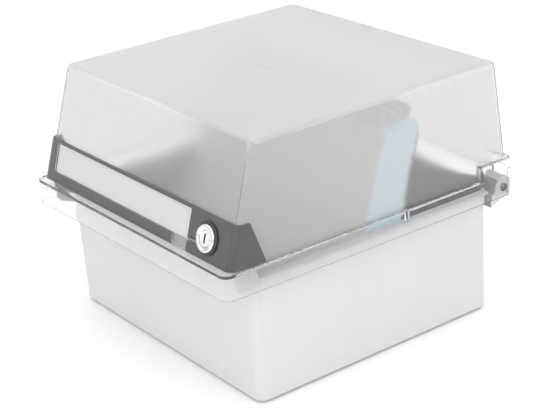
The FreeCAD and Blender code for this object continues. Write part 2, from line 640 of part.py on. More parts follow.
def make_lid_cover():
    """One-piece moulded lid: sloping hood, ledge, skirt, raised hinge corners and studs."""
    body = new_body("lid_cover")
    hood = drafted_block(body, "hood", "dims.ledge_under", "dims.lid_top",
                         ("dims.hood_half_low", "dims.hood_half_high"),
                         ("dims.hood_front_low", "dims.hood_front_high"),
                         ("dims.hood_rear_low", "dims.hood_rear_high"))
    top = dim("lid_top")
    hood = hollow_out(body, hood, [dim("ledge_under")], "dims.lid_wall")
    hood = round_corners(body, hood, "dims.hood_corner", "dims.lid_wall")
    fillet(body, hood, lambda middle, edge: abs(middle.z - top) < 0.01, "dims.hood_round")
    ledge = new_sketch(body, "ledge_outline", height="dims.ledge_under")
    box_outline(ledge, "0")
    buried = "0.6 * dims.lid_wall"
    rectangle(ledge, f"-dims.hood_half_low + {buried}", f"dims.hood_half_low - {buried}",
              f"dims.hood_front_low + {buried}", f"dims.hood_rear_low - {buried}",
              f"dims.hood_corner - {buried}")
    ledge_pad = pad(body, ledge, "dims.ledge_top - dims.ledge_under")
    brim = dim("ledge_top")
    beyond = dim("lid_wall") / 2
    side, front, rear = (dim("hood_half_low") + beyond, dim("hood_front_low") - beyond,
                         dim("hood_rear_low") + beyond)
    fillet(body, ledge_pad, lambda middle, edge: abs(middle.z - brim) < 0.01
           and (abs(middle.x) > side or middle.y < front or middle.y > rear), "dims.ledge_round")

    ears = new_sketch(body, "ear_outline", height="dims.ledge_under")
    outline(ears, [("dims.ear_side", "dims.ear_front"),
                   ("dims.box_width / 2", "dims.ear_front"),
                   ("dims.box_width / 2", "dims.box_depth / 2", "dims.skirt_corner"),
                   ("dims.ear_end", "dims.box_depth / 2"),
                   ("dims.ear_end", "dims.ear_back"),
                   ("dims.ear_side", "dims.ear_back")])
    ear = pad(body, ears, "dims.ear_top - dims.ledge_under")
    crown = dim("ear_top")
    ear_mirror = mirror_sides(body, [ear])
    outer = dim("box_width") / 2 - dim("skirt_corner") / 2
    chamfer(body, ear_mirror,
            lambda middle, edge: abs(middle.z - crown) < 0.01 and abs(middle.x) > outer, "dims.ear_cut")

    skirt = new_sketch(body, "skirt_outline", height="dims.ledge_under")
    box_outline(skirt, "0")
    box_outline(skirt, "dims.lid_wall")
    pad(body, skirt, "dims.ledge_under - dims.skirt_bottom", reverse=True)

    hollow = new_sketch(body, "ear_hollow", height="dims.ear_top - dims.lid_wall")
    rectangle(hollow, "dims.ear_end + dims.lid_wall", "dims.box_width / 2 - dims.lid_wall",
              "dims.ear_front + dims.lid_wall", "dims.box_depth / 2 - dims.lid_wall",
              "dims.skirt_corner - dims.lid_wall")
    ear_room = pocket(body, hollow, "dims.ear_top - dims.ledge_under - dims.lid_wall + dims.overrun")
    notches = new_sketch(body, "lug_notch", height="dims.notch_top")
    rectangle(notches, "dims.notch_in", "dims.notch_out", "dims.box_depth / 2 - dims.notch_depth",
              "dims.box_depth / 2 + dims.overrun")
    notch = pocket(body, notches, "dims.notch_top - dims.skirt_bottom + dims.overrun")

    studs = new_sketch(body, "stud_circle", "YZ_Plane", "dims.lug_half - dims.stud_length")
    circle(studs, "dims.hinge_y", "dims.hinge_z", "dims.stud_radius")
    stud = pad(body, studs, "dims.box_width / 2 - dims.lid_wall / 2 - dims.lug_half + dims.stud_length")
    ribs = new_sketch(body, "rib_outline", height="dims.rib_bottom")
    rectangle(ribs, "dims.hood_half_low - dims.lid_wall / 2", "dims.box_width / 2 - dims.lid_wall / 2",
              "dims.rib_y", "dims.rib_y + dims.rib_thick")
    rib = pad(body, ribs, "dims.ledge_top - dims.lid_wall / 2 - dims.rib_bottom")
    mirror_sides(body, [ear_room, notch, stud, rib])

    bores = face_sketch(body, "lock_and_peg_bores")
    circle(bores, "dims.lock_x", "dims.lock_up", "dims.barrel_radius + dims.fit_gap")
    for x, up in PEGS:
        circle(bores, x, up, "dims.peg_radius + dims.fit_gap")
    pocket(body, bores, "4 * dims.lid_wall", both=True)

    gate = new_sketch(body, "gate_mark", height="dims.lid_top")
    rectangle(gate, "dims.gate_x - dims.gate_length / 2", "dims.gate_x + dims.gate_length / 2",
              "dims.gate_y - dims.gate_width / 2", "dims.gate_y + dims.gate_width / 2",
              "0.48 * dims.gate_width")
    pocket(body, gate, "dims.gate_depth")
    return body


def make_label_holder():
    """Dark frame that wraps the lid's front and both its front corners."""
    body = new_body("label_holder")
    ends = ("dims.holder_low", "dims.holder_high")
    block = drafted_block(body, "holder", *ends,
                          [f"{hood_at('half', z)} + dims.holder_thick" for z in ends],
                          [f"{hood_at('front', z)} - dims.holder_thick / cos({SLOPE})" for z in ends],
                          [f"{hood_at('rear', z)} + dims.holder_thick" for z in ends])
    ring = hollow_out(body, block, [dim("holder_low"), dim("holder_high")],
                      "dims.holder_thick - dims.fit_gap")
    round_corners(body, ring, "dims.hood_corner + dims.holder_thick", "dims.holder_thick - dims.fit_gap")
    rear = new_sketch(body, "wing_cut", "YZ_Plane")
    outline(rear, [("dims.wing_low", "dims.holder_low - dims.overrun"),
                   ("dims.box_depth", "dims.holder_low - dims.overrun"),
                   ("dims.box_depth", "dims.holder_high + dims.overrun"),
                   ("dims.wing_high", "dims.holder_high + dims.overrun")])
    pocket(body, rear, "2 * dims.box_width", both=True)
    window = face_sketch(body, "label_opening")
    rectangle(window, "dims.label_left", "dims.label_right", "dims.label_low", "dims.label_high",
              "dims.label_corner")
    circle(window, "dims.lock_x", "dims.lock_up", "dims.barrel_radius + dims.fit_gap")
    pocket(body, window, "4 * dims.holder_thick", both=True)
    tab_gap = face_sketch(body, "tab_opening")
    rectangle(tab_gap, "dims.tab_start - dims.window_gap", "dims.label_right",
              "dims.tab_foot - 1.5 * dims.overrun", "dims.label_low + dims.overrun")
    pocket(body, tab_gap, "4 * dims.holder_thick", both=True)
    groove = face_sketch(body, "tongue_groove", "dims.holder_thick + dims.overrun")
    rectangle(groove, "dims.label_right - dims.overrun", "dims.label_right + dims.tongue_length",
              "dims.label_low", "dims.label_low + dims.groove_width")
    pocket(body, groove, "dims.groove_depth + dims.overrun")
    pegs = face_sketch(body, "peg_circles", "dims.holder_thick / 4")
    for x, up in PEGS:
        circle(pegs, x, up, "dims.peg_radius")
    pad(body, pegs, "dims.peg_length", reverse=True)
    return body


def make_label_card():
    item = doc.addObject("Part::Box", "label_card")
    item.setExpression("Length", "dims.label_right - dims.label_left - 2 * dims.label_margin")
    item.setExpression("Width", "dims.label_high - dims.label_low - 2 * dims.label_margin")
    item.setExpression("Height", "dims.label_thick")
    place_on_face(item, "dims.label_left + dims.label_margin", "dims.label_low + dims.label_margin",
                  "dims.fit_gap")
    return item


def make_label_window():
    """Clear strip over the label, with a finger tongue at its lower right end."""
    body = new_body("label_window")
    strip = new_sketch(body, "window_outline")
    left, right = "dims.label_left + dims.window_gap", "dims.label_right - dims.window_gap"
    low, high = "dims.label_low + dims.window_gap", "dims.label_high - dims.window_gap"
    tongue_end = "dims.label_right + dims.tongue_length - dims.window_gap"
    tongue_top = "dims.label_low + dims.tongue_width"
    corner, tip = "dims.label_corner - dims.window_gap", "0.3 * dims.tongue_width"
    outline(strip, [
        (left, low, corner), ("dims.tab_start", low), ("dims.tab_start", "dims.tab_foot", corner),
        (right, "dims.tab_foot", corner), (right, low), (tongue_end, low, tip),
        (tongue_end, tongue_top, tip), (right, tongue_top), (right, high, corner), (left, high, corner)])
    pad(body, strip, "dims.window_thick")
    place_on_face(body, "0", "0", "2 * dims.fit_gap + dims.label_thick + dims.window_rise")
    return body


def make_holder_clips():
    """Push-on spring washers that grip the holder's pegs inside the lid."""
    clips = []
    for number, (x, up) in enumerate(PEGS, start=1):
        disc = cylinder(f"clip_disc_{number}", "dims.clip_radius", "dims.clip_thick")
        hole = cylinder(f"clip_hole_{number}", "dims.peg_radius", "dims.clip_thick")
        clip = doc.addObject("Part::Cut", f"clip_{number}")
        clip.Base = disc
        clip.Tool = hole
        place_on_face(clip, x, up, "-dims.lid_wall - dims.fit_gap - dims.clip_thick")
        clips.append(clip)
    return group("holder_clips", clips)


# -------------------------------------------------------------------------- lock

def revolve(body, name, corners):
    """Turn a half profile of (radius, height) corners about the body's own Z axis."""
    sketch = new_sketch(body, name, "XZ_Plane")
    outline(sketch, corners)
    feature = body.newObject("PartDesign::Revolution", f"{name}_turned")
    feature.Profile = sketch
    feature.ReferenceAxis = (sketch, ["V_Axis"])
    feature.Angle = 360
    doc.recompute()
    return feature


HEAD_BASE = "dims.holder_thick + dims.fit_gap"
TAIL = "-dims.barrel_length"


def make_lock_barrel():
    """Fixed cylinder of the lock: chrome head in front, plain barrel behind."""
    body = new_body("lock_barrel")
    bore = "dims.plug_radius + dims.plug_clear"
    head = f"{HEAD_BASE} + dims.head_height"
    revolve(body, "barrel_profile", [
        (bore, TAIL), ("dims.barrel_radius", TAIL), ("dims.barrel_radius", HEAD_BASE),
        ("dims.flange_radius", HEAD_BASE), ("dims.flange_radius", f"{head} - dims.lock_cut"),
        ("dims.flange_radius - dims.lock_cut", head), (bore, head)])
    place_on_face(body, "dims.lock_x", "dims.lock_up")
    return body


def make_lock_ring():
    """Dark ring under the edge of the lock's head."""
    body = new_body("lock_ring")
    inner = "dims.flange_radius + dims.ring_gap"
    crest = f"{HEAD_BASE} + dims.ring_height"
    revolve(body, "ring_profile", [
        (inner, HEAD_BASE), ("dims.ring_radius", HEAD_BASE),
        ("dims.ring_radius", f"{crest} - dims.ring_cut"),
        ("dims.ring_radius - dims.ring_cut", crest), (inner, crest)])
    place_on_face(body, "dims.lock_x", "dims.lock_up")
    return body


def make_lock_nut():
    """Hexagon nut that clamps the lock inside the lid."""
    body = new_body("lock_nut")
    sketch = new_sketch(body, "nut_outline", height="-dims.lid_wall - dims.fit_gap - dims.nut_thick")
    reach = "dims.nut_flats / 2 / cos(30 deg)"
    corners = [(f"{reach} * cos({60 * i} deg)", f"{reach} * sin({60 * i} deg)") for i in range(6)]
    outline(sketch, corners)
    circle(sketch, "0", "0", "dims.barrel_radius + dims.thread_gap")
    pad(body, sketch, "dims.nut_thick")
    place_on_face(body, "dims.lock_x", "dims.lock_up")
    return body


def make_lock_plug():
    """Turning plug with its keyway in front and a square tail for the cam."""
    body = new_body("lock_plug")
    face = f"{HEAD_BASE} + dims.head_height - dims.plug_recess"
    end = f"{TAIL} - dims.plug_end"
    revolve(body, "plug_profile", [
        ("0", end), ("dims.plug_radius", end), ("dims.plug_radius", f"{face} - dims.plug_cut"),
        ("dims.plug_radius - dims.plug_cut", face), ("0", face)])
    square = new_sketch(body, "plug_square", height=end)
    side = "dims.cam_square / 2"
    rectangle(square, f"-{side}", side, f"-{side}", side)
    pad(body, square, "dims.plug_tail - dims.plug_end", reverse=True)
    slot = new_sketch(body, "keyway", height=face)
    rectangle(slot, "-dims.key_width / 2", "dims.key_width / 2",
              "-dims.key_height / 2", "dims.key_height / 2", "dims.key_corner")
    pocket(body, slot, "dims.key_depth")
    tapping = new_sketch(body, "cam_screw_hole", height=f"{TAIL} - dims.plug_tail")
    circle(tapping, "0", "0", "dims.cam_screw_radius + dims.thread_gap")
    pocket(body, tapping, "dims.cam_screw_hole", reverse=True)
    place_on_face(body, "dims.lock_x", "dims.lock_up")
    return body


CAM_FRONT = f"{TAIL} - dims.cam_gap"


def make_lock_cam():
    """Short cam on the plug's tail; its nose hangs down when the lock is open."""
    body = new_body("lock_cam")
    hub = new_sketch(body, "cam_hub", height=CAM_FRONT)
    circle(hub, "0", "0", "dims.cam_hub")
    pad(body, hub, "dims.cam_thick", reverse=True)
    nose = new_sketch(body, "cam_nose", height=CAM_FRONT)
    outline(nose, [("-dims.cam_width / 2", "-dims.cam_reach", "dims.cam_corner"),
                   ("dims.cam_width / 2", "-dims.cam_reach", "dims.cam_corner"),
                   ("dims.cam_width / 2", "0"), ("-dims.cam_width / 2", "0")])
    pad(body, nose, "dims.cam_thick", reverse=True)
    hole = new_sketch(body, "cam_square_hole", height=CAM_FRONT)
    side = "dims.cam_square / 2 + dims.square_gap"
    rectangle(hole, f"-({side})", side, f"-({side})", side)
    pocket(body, hole, "dims.cam_thick + dims.overrun")
    place_on_face(body, "dims.lock_x", "dims.lock_up")
    return body


def make_cam_screw():
    """Screw that holds the cam on the plug's tail."""
    body = new_body("cam_screw")
    seat = f"{TAIL} - dims.plug_tail - dims.seat_gap"
    head, point = f"{seat} - dims.cam_screw_thick", f"{seat} + dims.cam_screw_length"
    revolve(body, "screw_profile", [
        ("0", head), ("dims.cam_screw_head", head), ("dims.cam_screw_head", seat),
        ("dims.cam_screw_radius", seat), ("dims.cam_screw_radius", point), ("0", point)])
    place_on_face(body, "dims.lock_x", "dims.lock_up")
    return body


STRIKER_SCREWS = ["dims.striker_screw_left", "dims.striker_screw_right"]


def make_striker():
    """Bent steel catch on the front flange; the cam's nose turns under its tab."""
    body = new_body("striker")
    foot_top = "dims.rim_top + dims.fit_gap + dims.striker_thick"
    foot = new_sketch(body, "striker_foot", height="dims.rim_top + dims.fit_gap")
    rectangle(foot, "dims.striker_left", "dims.striker_upright", "dims.striker_foot_front",
              "dims.striker_foot_rear")
    pad(body, foot, "dims.striker_thick")
    upright = new_sketch(body, "striker_profile", "XZ_Plane", "-dims.striker_rear")
    tab_top = "dims.striker_tab + dims.striker_thick"
    outline(upright, [
        ("dims.striker_upright - dims.striker_thick", "dims.rim_top + dims.fit_gap"),
        ("dims.striker_upright", "dims.rim_top + dims.fit_gap"),
        ("dims.striker_upright", "dims.striker_tab"), ("dims.striker_tip", "dims.striker_tab"),
        ("dims.striker_tip", tab_top), ("dims.striker_upright - dims.striker_thick", tab_top)])
    pad(body, upright, "dims.striker_rear - dims.striker_front")
    holes = new_sketch(body, "striker_holes", height=foot_top)
    for x in STRIKER_SCREWS:
        circle(holes, x, "dims.striker_screw_y", "dims.striker_hole")
    pocket(body, holes, "dims.striker_thick + dims.overrun")
    return body


def make_striker_screws():
    """Two screws through the striker's foot; the flange's pilot holes are left out."""
    foot = "dims.rim_top + dims.thread_gap"
    screws = []
    for number, x in enumerate(STRIKER_SCREWS, start=1):
        shank = cylinder(f"striker_shank_{number}", "dims.striker_shank",
                         "dims.fit_gap + dims.striker_thick", x, "dims.striker_screw_y", foot)
        head = cylinder(f"striker_head_{number}", "dims.striker_head", "dims.striker_head_thick", x,
                        "dims.striker_screw_y", f"{foot} + dims.fit_gap + dims.striker_thick")
        screw = doc.addObject("Part::Fuse", f"striker_screw_{number}")
        screw.Base = shank
        screw.Tool = head
        screws.append(screw)
    return group("striker_screws", screws)


# --------------------------------------------------------- support plate and rail

FLOOR = "dims.foot_height + dims.tray_wall"
RAIL_SCREWS = ["dims.rail_front + dims.rail_screw_in", "dims.rail_rear - dims.rail_screw_in"]


def make_index_rail():
    """Flat rail on the tray's floor with a row of notches for the slider's pawl."""
    body = new_body("index_rail")
    strip = new_sketch(body, "rail_outline", height=FLOOR)
    rectangle(strip, "-dims.rail_half", "dims.rail_half", "dims.rail_front", "dims.rail_rear",
              "dims.rail_corner")
    pad(body, strip, "dims.rail_thick")
    notch = new_sketch(body, "rail_notch", height=f"{FLOOR} + dims.rail_thick")
    rectangle(notch, "-dims.rail_half / 2", "dims.rail_half / 2",
              "dims.rail_front + dims.rail_first", "dims.rail_front + dims.rail_first + dims.rail_notch")
    cut = pocket(body, notch, "dims.rail_thick - dims.rail_web")
    row = body.newObject("PartDesign::LinearPattern", "rail_notches")
    row.Originals = [cut]
    row.Direction = (origin_plane(body, "Y_Axis"), [""])
    row.setExpression("Occurrences", "dims.rail_notches")
    row.setExpression("Length", "(dims.rail_notches - 1) * dims.rail_pitch")
    body.Tip = row
    doc.recompute()
    holes = new_sketch(body, "rail_screw_seats", height=f"{FLOOR} + dims.rail_thick")
    for y in RAIL_SCREWS:
        circle(holes, "0", y, "dims.rail_seat")
    pocket(body, holes, "dims.rail_seat_depth")
    return body


def make_rail_screws():
    seat = f"{FLOOR} + dims.rail_thick - dims.rail_seat_depth"
    screws = [cylinder(f"rail_screw_{number}", "dims.rail_head", "dims.rail_head_thick", "0", y, seat)
              for number, y in enumerate(RAIL_SCREWS, start=1)]
    return group("rail_screws", screws)


def make_support_slider():
    """Slider that straddles the index rail and carries the support plate's pin."""
    body = new_body("support_slider")
    deck_low = f"{FLOOR} + dims.rail_thick + dims.slider_lift"
    deck = new_sketch(body, "slider_deck", height=deck_low)
    rectangle(deck, "-dims.slider_half", "dims.slider_half", "dims.slider_front",
              "dims.slider_rear", "dims.rail_corner")
    pad(body, deck, "dims.slider_thick")
    skids = new_sketch(body, "slider_skids", height=f"{FLOOR} + dims.slider_lift")
    skid_in = "dims.rail_half + dims.skid_gap"
    rectangle(skids, skid_in, f"{skid_in} + dims.skid_width", "dims.slider_front + dims.skid_inset",
              "dims.slider_rear - dims.skid_inset")
    skid = pad(body, skids, "dims.rail_thick + dims.slider_thick / 2")
    cheeks = new_sketch(body, "pin_cheek", "YZ_Plane", "dims.pivot_half - dims.cheek_thick")
    deck_top = f"{deck_low} + dims.slider_thick"
    root, crest = f"{deck_top} - dims.bite", "dims.pivot_z + dims.cheek_above"
    outline(cheeks, [("dims.pivot_y - dims.cheek_fore", root), ("dims.cheek_foot", root),
                     ("dims.pivot_y + dims.cheek_aft", crest), ("dims.pivot_y - dims.cheek_fore", crest)])
    cheek = pad(body, cheeks, "dims.cheek_thick")
    mirror_sides(body, [skid, cheek])
    bore = new_sketch(body, "pin_bore", "YZ_Plane")
    circle(bore, "dims.pivot_y", "dims.pivot_z", "dims.pivot_radius + dims.thread_gap")
    pocket(body, bore, "4 * dims.slider_half", both=True)
    return body


def make_support_pin():
    item = cylinder("support_pin", "dims.pivot_radius", "2 * dims.pivot_half", "-dims.pivot_half",
                    "dims.pivot_y", "dims.pivot_z")
    item.Placement = Placement(item.Placement.Base, Rotation(Vector(0, 1, 0), 90))
    return item


def make_support_plate():
    """Leaning plate behind the cards: barrels round the pin, stiffening ribs, finger cut-out."""
    body = new_body("support_plate")
    face = new_sketch(body, "plate_outline", "XZ_Plane", "dims.plate_front - dims.plate_thick")
    outline(face, [("-dims.plate_half", "-dims.plate_below"), ("dims.plate_half", "-dims.plate_below"),
                   ("dims.plate_half", "dims.plate_length", "dims.plate_corner"),
                   ("-dims.plate_half", "dims.plate_length", "dims.plate_corner")])
    pad(body, face, "dims.plate_thick")
    ribs = new_sketch(body, "plate_rib", "XZ_Plane", "dims.plate_front - dims.plate_thick - dims.rib_depth")
    rectangle(ribs, "dims.rib_in", "dims.rib_in + dims.rib_width", "dims.rib_foot", "dims.rib_head")
    rib = pad(body, ribs, "dims.rib_depth + dims.plate_thick / 2")
    barrels = new_sketch(body, "plate_barrel", "YZ_Plane", "dims.barrel_in")
    circle(barrels, "0", "0", "dims.barrel_round")
    barrel_end = "dims.pivot_half - dims.cheek_thick - dims.hinge_gap"
    barrel = pad(body, barrels, f"{barrel_end} - dims.barrel_in")
    slots = new_sketch(body, "cheek_slot", "XZ_Plane", "dims.plate_front + dims.overrun")
    rectangle(slots, barrel_end, "dims.pivot_half + dims.hinge_gap", "dims.slot_foot", "dims.slot_head")
    slot = pocket(body, slots, "2 * (dims.plate_front + dims.overrun)")
    mirror_sides(body, [rib, barrel, slot])
    bore = new_sketch(body, "plate_bore", "YZ_Plane")
    circle(bore, "0", "0", "dims.pivot_radius + dims.pivot_clear")
    pocket(body, bore, "4 * dims.pivot_half", both=True)
    grip = new_sketch(body, "finger_cut", "XZ_Plane", "dims.plate_front + dims.overrun")
    circle(grip, "0", "dims.plate_length + dims.grip_above", "dims.grip_radius")
    pocket(body, grip, "dims.plate_thick + 2 * dims.overrun")
    body.Placement = Placement(Vector(), Rotation(Vector(-1, 0, 0), dim("plate_lean")))
    body.setExpression("Placement.Rotation.Angle", "dims.plate_lean * 1 deg")
    body.setExpression("Placement.Base.y", "dims.pivot_y")
    body.setExpression("Placement.Base.z", "dims.pivot_z")
    return body


# ------------------------------------------------------------------- guide cards

TAB_PLACES = int(dim("tab_places"))
CARD_COUNT = TAB_PLACES * int(dim("card_rows"))


def tab_left(place):
    """Left end of a tab place, counted from the left."""
    free = "(2 * dims.card_half - 2 * dims.tab_margin - dims.tab_width)"
    return f"-dims.card_half + dims.tab_margin + {place} * {free} / {TAB_PLACES - 1}"


def stand_in_fan(item, number, forward="0", up="0"):
    """Lean a card, or something on it, at its own place in the fan."""
    share = f"{number} / {CARD_COUNT - 1}"
    lean = f"(dims.fan_front_lean + (dims.fan_rear_lean - dims.fan_front_lean) * {share})"
    foot = f"(dims.fan_front_foot + (dims.fan_rear_foot - dims.fan_front_foot) * {share})"
    item.Placement = Placement(Vector(), Rotation(Vector(-1, 0, 0), value(lean)))
    item.setExpression("Placement.Rotation.Angle", f"{lean} * 1 deg")
    item.setExpression("Placement.Base.y",
                       f"{foot} + ({up}) * sin({lean} * 1 deg) - ({forward}) * cos({lean} * 1 deg)")
    item.setExpression("Placement.Base.z",
                       f"dims.card_floor + ({up}) * cos({lean} * 1 deg) + ({forward}) * sin({lean} * 1 deg)")


def make_guide_card(number):
    """One guide card with its tab; the tab places run from right to left, then repeat."""
    place = TAB_PLACES - 1 - number % TAB_PLACES
    body = new_body(f"guide_card_{number + 1}")
    sketch = new_sketch(body, f"card_outline_{number + 1}", "XZ_Plane", "-dims.card_thick / 2")
    left = tab_left(place)
    right = f"{left} + dims.tab_width"
    cut = "dims.card_corner"
    crest = "dims.card_length + dims.tab_height"
    outline(sketch, [
        ("-dims.card_half", "0"), ("dims.card_half", "0"), ("dims.card_half", "dims.card_length"),
        (right, "dims.card_length"), (right, f"{crest} - {cut}"), (f"{right} - {cut}", crest),
        (f"{left} + {cut}", crest), (left, f"{crest} - {cut}"), (left, "dims.card_length"),
        ("-dims.card_half", "dims.card_length")])
    pad(body, sketch, "dims.card_thick")
    stand_in_fan(body, number)
    return body


def make_guide_cards():
    cards = [make_guide_card(number) for number in range(CARD_COUNT)]
    return [group(f"guide_cards_{place + 1}", cards[place::TAB_PLACES]) for place in range(TAB_PLACES)]


def make_tab_inserts():
    """Paper inserts, one on the front of every tab."""
    inserts = []
    for number in range(CARD_COUNT):
        place = TAB_PLACES - 1 - number % TAB_PLACES
        insert = doc.addObject("Part::Box", f"tab_insert_{number + 1}")
        insert.setExpression("Length", "dims.tab_width - 2 * dims.insert_side")
        insert.setExpression("Width", "dims.insert_thick")
        insert.setExpression("Height", "dims.tab_height - 2 * dims.insert_foot")
        stand_in_fan(insert, number, "dims.card_thick / 2 + dims.insert_thick",
                     "dims.card_length + dims.insert_foot")
        insert.setExpression("Placement.Base.x", f"{tab_left(place)} + dims.insert_side")
        inserts.append(insert)
    return group("tab_inserts", inserts)


# ------------------------------------------------------------------------- build

PARTS = [
    make_tray_shell(), make_tray_feet(), make_striker(), make_striker_screws(),
    make_index_rail(), make_rail_screws(),
    make_lid_cover(), make_label_holder(), make_label_card(), make_label_window(), make_holder_clips(),
    make_lock_barrel(), make_lock_ring(), make_lock_nut(), make_lock_plug(), make_lock_cam(),
    make_cam_screw(),
    make_support_slider(), make_support_pin(), make_support_plate(),
    *make_guide_cards(), make_tab_inserts(),
]

doc.recompute()
for item in doc.Objects:
    if "Invalid" in item.State or "Error" in item.State:
        raise RuntimeError(f"{item.Label}: {item.State}")

os.makedirs("parts", exist_ok=True)
for part in PARTS:
    shape = part.Shape
    if shape.isNull() or not shape.isValid():
        raise RuntimeError(f"{part.Label} has no valid shape")
    shape.exportStep(f"parts/{part.Label}.step")
    box = shape.BoundBox
    print(f"{part.Label:16s} {len(shape.Solids):3d} solids {shape.Volume:11.1f} mm3"
          f"  x {box.XMin:7.1f} {box.XMax:7.1f}  y {box.YMin:7.1f} {box.YMax:7.1f}"
          f"  z {box.ZMin:6.1f} {box.ZMax:6.1f}")
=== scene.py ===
# %% [markdown]
# # A lidded card index box
# A grey moulded tray stands on the desk and holds a fan of pale blue guide cards.
# A one-piece lid of frosted plastic hinges at the rear. Its front carries a dark label
# holder and a small cam lock.
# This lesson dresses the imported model: the shapes that are right already get a finish, and
# the ones that need softer edges or finer detail are made again here, in the same place.

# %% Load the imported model
import json
import math
import bmesh
import bpy
from mathutils import Matrix, Vector

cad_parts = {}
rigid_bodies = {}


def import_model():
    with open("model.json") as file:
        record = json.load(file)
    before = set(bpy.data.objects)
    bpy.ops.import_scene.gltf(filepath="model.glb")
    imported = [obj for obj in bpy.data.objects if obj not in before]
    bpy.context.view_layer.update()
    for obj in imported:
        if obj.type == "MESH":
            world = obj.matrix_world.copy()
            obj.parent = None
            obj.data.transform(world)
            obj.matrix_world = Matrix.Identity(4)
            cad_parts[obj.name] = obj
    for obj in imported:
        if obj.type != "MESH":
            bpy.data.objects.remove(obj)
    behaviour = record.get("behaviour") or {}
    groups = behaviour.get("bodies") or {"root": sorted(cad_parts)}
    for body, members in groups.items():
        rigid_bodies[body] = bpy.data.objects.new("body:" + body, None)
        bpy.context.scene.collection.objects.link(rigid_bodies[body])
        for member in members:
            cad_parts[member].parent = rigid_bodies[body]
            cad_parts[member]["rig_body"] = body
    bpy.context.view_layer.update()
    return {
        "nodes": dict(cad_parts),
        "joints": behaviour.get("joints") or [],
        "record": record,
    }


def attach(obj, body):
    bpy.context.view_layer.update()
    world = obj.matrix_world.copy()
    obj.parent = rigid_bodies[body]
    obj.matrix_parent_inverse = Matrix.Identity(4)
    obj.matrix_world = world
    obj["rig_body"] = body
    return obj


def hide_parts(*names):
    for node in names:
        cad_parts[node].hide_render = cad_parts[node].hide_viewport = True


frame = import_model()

# %% [markdown]
# ## Camera
# The box is seen from its front right corner and a little above. A camera's three axes can
# be turned into place with Euler angles, but a product view with a slight roll is clearer as
# three vectors: back from the box, to the right, and up. The lens is long, so the upright
# edges stay nearly parallel.

# %% Place the camera
azimuth, elevation, roll = (math.radians(angle) for angle in (54.357, 22.865, -3.950))
back = Vector((math.sin(azimuth) * math.cos(elevation), -math.cos(azimuth) * math.cos(elevation),
               math.sin(elevation)))
level = Vector((math.cos(azimuth), math.sin(azimuth), 0))
upright = back.cross(level)
right = level * math.cos(roll) + upright * math.sin(roll)
up = upright * math.cos(roll) - level * math.sin(roll)
place = back * 1.19306 - right * 0.00278 + up * 0.07427 + Vector((0, 0, 0.0015))
lens = bpy.data.cameras.new("product_camera")
lens.sensor_width, lens.lens = 36.0, 100.55
camera = bpy.data.objects.new("product_camera", lens)
camera.matrix_world = Matrix.Translation(place) @ Matrix((right, up, back)).transposed().to_4x4()
bpy.context.scene.collection.objects.link(camera)
bpy.context.scene.camera = camera
print("camera at", [round(part, 3) for part in place])

# %% [markdown]
# ## Writing materials as sums
# Every finish here is a small network of shader nodes. Clicking one together in the editor is
# fine for a single object. In a script it reads better as arithmetic, so one small class
# wraps a node's output, and Python's own signs add the Math nodes. Every other node comes
# from the same method: its kind, its settings, and then what goes into its sockets.

# %% A wrapped socket
class Wire:
    """One output of a node. Signs between wires and numbers add Math nodes."""

    def __init__(self, tree, socket=None):
        self.tree = tree
        self.socket = socket

    def node(self, kind, settings=None, sockets=None, output=0):
        made = self.tree.nodes.new(kind)
        for name, setting in (settings or {}).items():
            if name == "stops":
                ramp = made.color_ramp.elements
                for index, (position, colour) in enumerate(setting):
                    stop = ramp[index] if index < len(ramp) else ramp.new(position)
                    stop.position, stop.color = position, colour
            else:
                setattr(made, name, setting)
        for name, value in (sockets or {}).items():
            if isinstance(value, Wire):
                self.tree.links.new(value.socket, made.inputs[name])
            else:
                made.inputs[name].default_value = value
        return Wire(self.tree, made.outputs[output]) if len(made.outputs) else made

    def maths(self, operation, first, second=0.0):
        return self.node("ShaderNodeMath", {"operation": operation}, {0: first, 1: second})

    def __add__(self, other):
        return self.maths("ADD", self, other)

    def __sub__(self, other):
        return self.maths("SUBTRACT", self, other)

    def __rsub__(self, other):
        return self.maths("SUBTRACT", other, self)

    def __mul__(self, other):
        return self.maths("MULTIPLY", self, other)

    __radd__ = __add__
    __rmul__ = __mul__


def start_finish(name):
    """An empty material, and a wire that starts its network."""
    material = bpy.data.materials.new(name)
    material.use_nodes = True
    material.node_tree.nodes.clear()
    return material, Wire(material.node_tree)


def object_place(wire, stretch=(1.0, 1.0, 1.0)):
    """Where a point is on the object, in metres, stretched along its axes."""
    point = wire.node("ShaderNodeTexCoord", output="Object")
    return wire.node("ShaderNodeMapping", None, {"Vector": point, "Scale": stretch})


def mottle(wire, size, detail=3.0, stretch=(1.0, 1.0, 1.0)):
    """Cloudy noise from 0 to 1, with patches of about the given size in metres."""
    return wire.node("ShaderNodeTexNoise", None,
                     {"Vector": object_place(wire, stretch), "Scale": 1 / size, "Detail": detail})


def mix_colours(wire, share, first, second):
    return wire.node("ShaderNodeMix", {"data_type": "RGBA"}, {0: share, 6: first, 7: second}, output=2)


def raised(wire, height, depth):
    """A normal that follows a height from 0 to 1, with the given depth in metres."""
    return wire.node("ShaderNodeBump", None, {"Height": height, "Distance": depth, "Strength": 1.0})


def surface(wire, **sockets):
    return wire.node("ShaderNodeBsdfPrincipled", None,
                     {name.replace("_", " "): value for name, value in sockets.items()})


def end_finish(material, wire, shader):
    wire.node("ShaderNodeOutputMaterial", None, {"Surface": shader})
    print("finish", material.name, len(material.node_tree.nodes), "nodes")
    return material
